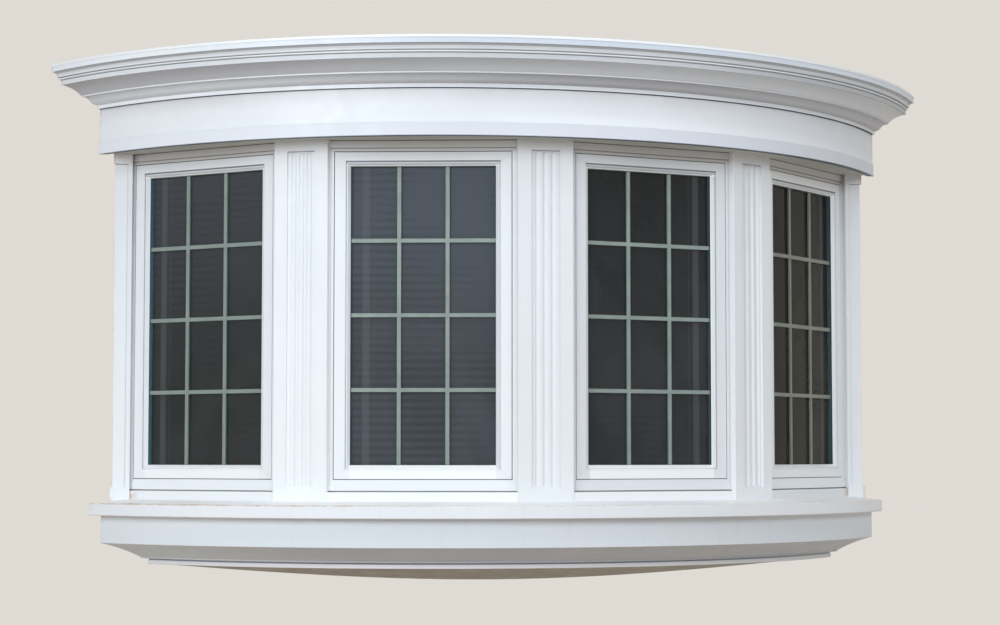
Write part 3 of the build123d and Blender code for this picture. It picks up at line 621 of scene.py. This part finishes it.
def sheet_metal(name):
    """Coated roof sheet with rain marks running to the edge."""
    m = Mat(name)
    angle, radius = m.polar()
    runs = m.noise(1.0, 4.0, 0.6, vector=m.vec(m.mul(angle, 40.0), m.mul(radius, 4.0), 0.0))
    color = m.mix(m.mul(m.span(runs, 0.45, 0.75), 0.30), (0.66, 0.69, 0.72), (0.42, 0.42, 0.40))
    spots = m.span(m.noise(60.0, 5.0, 0.7), 0.60, 0.70)
    color = m.mix(m.mul(spots, 0.35), color, (0.30, 0.26, 0.20))
    color = m.mix(m.span(radius, 1.7060, 1.7072), color, WHITE)
    m.bump(m.mul(m.noise(6.0, 2.0), 0.002))
    return m.done(color, m.span(runs, 0.3, 0.7, 0.35, 0.55))


def plain_noise(name, light, dark, scale, rough):
    """One mottled tone with a fine bump, for foam and rubber."""
    m = Mat(name)
    n = m.noise(scale, 5.0, 0.65)
    m.bump(m.mul(n, 0.0004))
    return m.done(m.mix(m.span(n, 0.35, 0.65), light, dark), m.span(n, 0.3, 0.7, rough - 0.06, rough + 0.06))


# Materials on the mouldings and boards
assign("crown_moulding", trim("crown_paint", crown_tone, seams=(12.0,), streak=0.05, end_smear=0.010))
assign("frieze_board", trim("frieze_paint", frieze_tone, seams=(27.0,), streak=0.04, end_smear=0.010))
band_base = (0.775, 0.79, 0.825)
assign("frieze_band", trim("band_paint", band_tone, band_base, streak=0.04, end_smear=0.010))
# A little darker and bluer than the other trim: painted shade under the nosing
skirt_base = (0.74, 0.775, 0.805)
assign("skirt_board", trim("skirt_paint", skirt_tone, skirt_base, seams=(21.0,), end_smear=0.012))
# Lighter than the other trim: painted light on the sill
sill_base, sill_dim = (0.85, 0.86, 0.875), (0.81, 0.82, 0.835)
assign("sill_nosing", trim("sill_paint", sill_dirt_and_painted_light, sill_base, sill_dim, seams=(-30.0, 36.0)))
# Grey base: painted shade on the white bed moulding, whose cove faces down under the bow
bed_base, bed_dim = (0.58, 0.565, 0.57), (0.62, 0.605, 0.61)
assign("bed_moulding", trim("bed_paint", bed_tone, bed_base, bed_dim, streak=0.08))
# Base strips whiter than the other trim: painted light
assign("base_strips", trim("strip_paint", None, FOOT_WHITE, (0.85, 0.86, 0.87), streak=0.04))
# Painted shade: each cover's white made a little darker, most on the middle one
COVER_SHADES = (1.0, 0.93, 0.98)
for k, shade in enumerate(COVER_SHADES, start=1):
    tone = cover_tone((k - UNITS / 2) * STEP, shade)
    base, dim = (tuple(shade * v for v in color) for color in (WHITE, WHITE_DIM))
    assign(f"mullion_cover_{k}", trim(f"cover_paint_{k}", tone, base, dim, end_smear=0.0, streak=0.05))
for side in ("left", "right"):
    assign(f"jamb_cover_{side}", trim(f"jamb_paint_{side}", jamb_tone, end_smear=0.0))
# Grey beige: painted shade on the white boards under and beside the bow
board_paint = painted_board("board_paint", (0.54, 0.53, 0.475), (0.47, 0.455, 0.405))
for name in ("head_board", "seat_board", "jamb_board_left", "jamb_board_right"):
    assign(name, board_paint)
assign("belly_panel", painted_board("belly_paint", (0.37, 0.30, 0.21), (0.30, 0.24, 0.165)))
assign("roof_sheet", sheet_metal("roof_coating"))
assign("roof_deck", timber("deck_ply", (3.0, 40.0, 40.0), plies=True))
cleat_wood = timber("cleat_wood", (2.0, 30.0, 40.0))
post_wood = timber("post_wood", (40.0, 40.0, 2.0))
for name in ("head_cleat", "seat_cleat"):
    assign(name, cleat_wood)
for name in ["end_post_left", "end_post_right"] + [f"mullion_post_{k}" for k in range(1, UNITS)]:
    assign(name, post_wood)
assign("seat_platform", plain_noise("foam", (0.62, 0.42, 0.40), (0.50, 0.32, 0.30), 300.0, 0.8))

# Materials on the window units, from left to right
# Painted light and shade per unit: the middle units' white made darker, the right one's lighter
VINYL_SHADES = (
    (0.0, (0.80, 0.80, 0.80)),
    (0.04, (0.10, 0.10, 0.11)),
    (0.13, (0.10, 0.10, 0.11)),
    (0.75, (0.94, 0.95, 0.96)),
)
# Base, deep and top tones of each inner pane: painted shade of the room and a painted reflection
GLASS_TONES = (
    ((0.036, 0.039, 0.038), (0.022, 0.026, 0.025), (0.064, 0.067, 0.080)),
    ((0.072, 0.083, 0.096), (0.058, 0.066, 0.075), (0.098, 0.112, 0.134)),
    ((0.036, 0.038, 0.042), (0.024, 0.026, 0.029), (0.008, 0.008, 0.009)),
    ((0.052, 0.045, 0.026), (0.036, 0.030, 0.018), (0.010, 0.009, 0.006)),
)
GLASS_LEVELS = (0.22, 0.22, 0.22, 0.10)
for k in range(UNITS):
    a = unit_angle(k)
    shade = VINYL_SHADES[k]
    assign(f"frame_{k + 1}", frame_vinyl(f"frame_vinyl_{k + 1}", a, shade, painted_light_edge=k == 0))
    assign(f"sash_{k + 1}", sash_vinyl(f"sash_vinyl_{k + 1}", a, shade))
    assign(f"glass_{k + 1}", glass(f"pane_{k + 1}", a, k, GLASS_TONES[k], GLASS_LEVELS[k]))
    assign(f"grille_{k + 1}", grille(f"grille_metal_{k + 1}", a))


# Rubber seals in the gaps round the sashes
def add_piece(name, bm, mat):
    me = bpy.data.meshes.new(name)
    bmesh.ops.recalc_face_normals(bm, faces=bm.faces)
    bm.to_mesh(me)
    bm.free()
    ob = bpy.data.objects.new(name, me)
    bpy.context.scene.collection.objects.link(ob)
    me.materials.append(mat)
    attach(ob, "root")


def ring(bm, turn, outer, inner, back, front):
    """A flat rectangular ring in a unit's plane; outer and inner are half width, base and top."""
    def corners(size, depth):
        half, low, high = size
        return [
            bm.verts.new(unit_point(turn, depth, s * half, z))
            for s, z in ((-1, low), (1, low), (1, high), (-1, high))
        ]
    loops = [corners(outer, front), corners(inner, front), corners(inner, back), corners(outer, back)]
    for a, b in zip(loops, loops[1:] + loops[:1]):
        for i in range(4):
            j = (i + 1) % 4
            bm.faces.new((a[i], a[j], b[j], b[i]))


SEAL_GAP = 0.0001
SEAL_FRONT = 0.004
SEAL_BACK = 0.030
opening = (OPENING_HALF - SEAL_GAP, OPENING_BASE + SEAL_GAP, OPENING_TOP - SEAL_GAP)
sash_edge = (SASH_HALF + SEAL_GAP, SASH_BASE - SEAL_GAP, SASH_TOP + SEAL_GAP)
rubber = plain_noise("seal_rubber", (0.10, 0.105, 0.115), (0.16, 0.165, 0.175), 200.0, 0.6)
for k in range(UNITS):
    bm = bmesh.new()
    ring(bm, unit_angle(k), opening, sash_edge, SASH_APOTHEM - SEAL_BACK, SASH_APOTHEM - SEAL_FRONT)
    add_piece(f"sash_seal_{k + 1}", bm, rubber)


# Floor and backdrop
def shown_rays(tree):
    """1 for rays from the camera, in gloss and through glass, which see the pale backdrop."""
    path = tree.nodes.new("ShaderNodeLightPath")
    shown = path.outputs["Is Camera Ray"]
    for ray in ("Is Glossy Ray", "Is Transmission Ray"):
        join = tree.nodes.new("ShaderNodeMath")
        join.operation = "MAXIMUM"
        tree.links.new(shown, join.inputs[0])
        tree.links.new(path.outputs[ray], join.inputs[1])
        shown = join.outputs[0]
    return shown


def shader_mix(tree, fac, a, b, out):
    n = tree.nodes.new("ShaderNodeMixShader")
    for socket, source in zip(n.inputs, (fac, a, b)):
        tree.links.new(source, socket)
    tree.links.new(n.outputs[0], out)


def floor_material():
    """Pale floor that fades into the backdrop with distance, and is clear when seen from below."""
    m = Mat("floor_tone")
    x, y, z = m.xyz()
    reach = m.math("SQRT", m.add(m.mul(x, x), m.mul(y, y)))
    fade = m.span(reach, 3.0, 8.0, 0.15, 1.0)
    shown = shown_rays(m.nt)
    glow = m.add(fade, m.mul(shown, m.span(reach, 3.0, 8.0, 0.22, 0.0)))
    near = m.mix(shown, (0.51, 0.47, 0.415), (0.84, 0.80, 0.74))
    m.bsdf.inputs["Emission Color"].default_value = (*BACKDROP, 1.0)
    m.link(glow, m.bsdf.inputs["Emission Strength"])
    m.done(m.mix(fade, near, (0.0, 0.0, 0.0)), 0.8, Specular_IOR_Level=0.0)
    below = m.nt.nodes.new("ShaderNodeNewGeometry").outputs["Backfacing"]
    clear = m.nt.nodes.new("ShaderNodeBsdfTransparent").outputs[0]
    shader_mix(m.nt, below, m.bsdf.outputs[0], clear, m.nt.nodes["Material Output"].inputs[0])
    return m.mat


bpy.ops.mesh.primitive_plane_add(size=FLOOR_SIZE, location=(0, 0, FLOOR_Z))
floor = bpy.context.object
floor.name = "floor"
floor.data.materials.append(floor_material())

world = bpy.data.worlds.new("studio")
bpy.context.scene.world = world
world.use_nodes = True
sky = world.node_tree
light = sky.nodes["Background"]
light.inputs["Color"].default_value = (0.85, 0.92, 1.0, 1.0)
light.inputs["Strength"].default_value = 0.21
backdrop = sky.nodes.new("ShaderNodeBackground")
backdrop.inputs["Color"].default_value = (*BACKDROP, 1.0)
backdrop.inputs["Strength"].default_value = 1.0
sky_out = sky.nodes["World Output"].inputs[0]
shader_mix(sky, shown_rays(sky), light.outputs[0], backdrop.outputs[0], sky_out)


# Lights and camera
def softbox(name, where, aim, size, power, color=(1, 1, 1)):
    data = bpy.data.lights.new(name, "AREA")
    data.shape = "RECTANGLE"
    data.size, data.size_y = size
    data.energy = power
    data.color = color
    ob = bpy.data.objects.new(name, data)
    ob.location = where
    ob.rotation_euler = (Vector(aim) - Vector(where)).to_track_quat("-Z", "Y").to_euler()
    bpy.context.scene.collection.objects.link(ob)


softbox("key", (-5.0, -6.2, 2.9), (0, -0.5, 0.6), (4.2, 3.6), 348, (0.85, 0.925, 1.0))
softbox("front", (0.9, -8.4, 3.0), (0, -0.5, 0.6), (3.4, 2.8), 74, (0.85, 0.925, 1.0))
softbox("fill", (4.8, -5.8, 3.9), (0, -0.3, 0.7), (3.2, 2.4), 114, (0.86, 0.925, 1.0))
softbox("top", (0.0, -2.6, 4.3), (0, -0.5, 0.4), (4.0, 1.6), 50, (0.92, 0.96, 1.0))
softbox("back", (0.5, 4.5, 3.5), (0, 0, 0.8), (4.0, 3.0), 60)

FOCAL_WIDTHS = 2.2804  # focal length in widths of the photo, from the camera fit
CAMERA_RISE = 3.609  # degrees
CAMERA_TURN = -12.732  # degrees
cam_data = bpy.data.cameras.new("camera")
cam = bpy.data.objects.new("camera", cam_data)
bpy.context.scene.collection.objects.link(cam)
bpy.context.scene.camera = cam
cam_data.sensor_width = 36.0
cam_data.lens = cam_data.sensor_width * FOCAL_WIDTHS
cam.location = (-1.6614, -7.3406, 0.2744)
cam.rotation_euler = (math.radians(90.0 + CAMERA_RISE), 0.0, math.radians(CAMERA_TURN))
cam_data.clip_end = 200.0

bpy.context.scene.view_settings.view_transform = "Standard"
